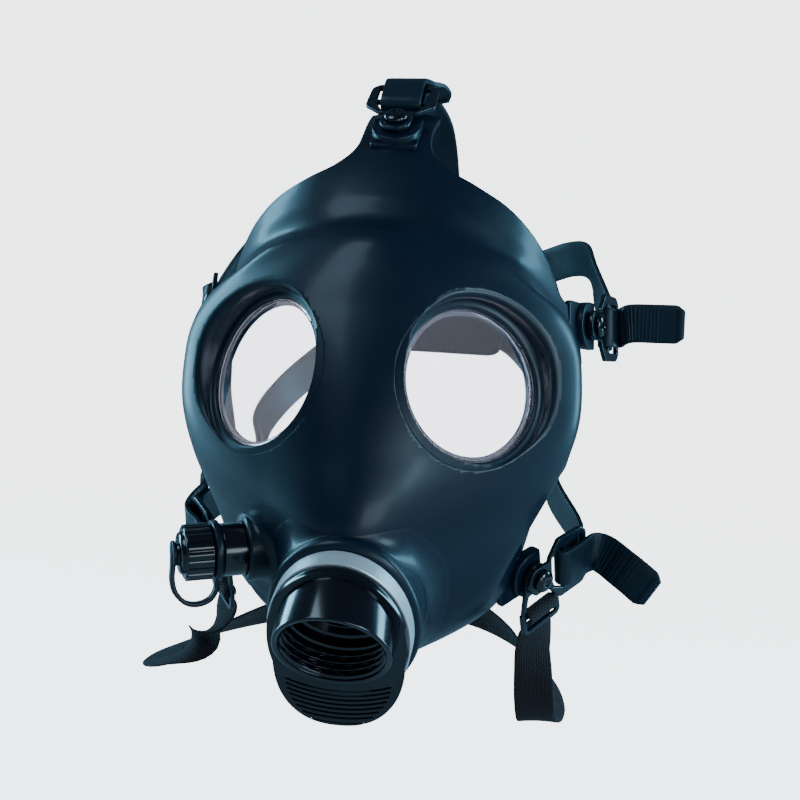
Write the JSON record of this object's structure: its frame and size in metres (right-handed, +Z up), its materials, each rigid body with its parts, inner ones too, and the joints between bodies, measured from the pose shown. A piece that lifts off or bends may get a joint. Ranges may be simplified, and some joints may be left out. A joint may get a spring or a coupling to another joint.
{
  "type": "gas mask style costume mask",
  "caption": "Black rubber full-face mask in the gas mask style, with round eye lenses, a slotted mouth housing with a filter socket, a capped side port, buckled head straps and a neck strap.",
  "frame": {"origin": "middle of the wearer's head at eye level, inside the hollow that the head fills", "axes": "+Z up as worn, -Y to the wearer's front, +X to the wearer's left"},
  "size_m": [0.2332, 0.2651, 0.2683],
  "materials": {
    "moulded_rubber": "satin black moulded rubber with a blue-black sheen",
    "strap_rubber": "satin black rubber strap",
    "gloss_plastic": "glossy black moulded plastic",
    "buckle_plastic": "semi-gloss black moulded plastic",
    "steel_band": "bright brushed steel",
    "clear_lens": "clear plastic with a slight violet tint, polished",
    "webbing": "plain woven brown-black webbing"
  },
  "bodies": {
    "root": {"facepiece": "moulded_rubber", "lens_left": "clear_lens", "lens_right": "clear_lens", "mouth_clamp": "steel_band", "valve_housing": "gloss_plastic", "port_body": "gloss_plastic", "port_cap": "gloss_plastic", "port_tether": "moulded_rubber", "stud_top": "gloss_plastic", "stud_temple_left": "gloss_plastic", "stud_temple_right": "gloss_plastic", "stud_cheek_left": "gloss_plastic", "stud_cheek_right": "gloss_plastic", "buckle_top": "buckle_plastic", "buckle_temple_left": "buckle_plastic", "buckle_temple_right": "buckle_plastic", "buckle_cheek_left": "buckle_plastic", "buckle_cheek_right": "buckle_plastic", "strap_top": "strap_rubber", "strap_temple_left": "strap_rubber", "strap_temple_right": "strap_rubber", "strap_cheek_left": "strap_rubber", "strap_cheek_right": "strap_rubber", "back_pad": "strap_rubber", "neck_frame_left": "buckle_plastic", "neck_frame_right": "buckle_plastic", "neck_strap": "webbing"}
  },
  "joints": []
}
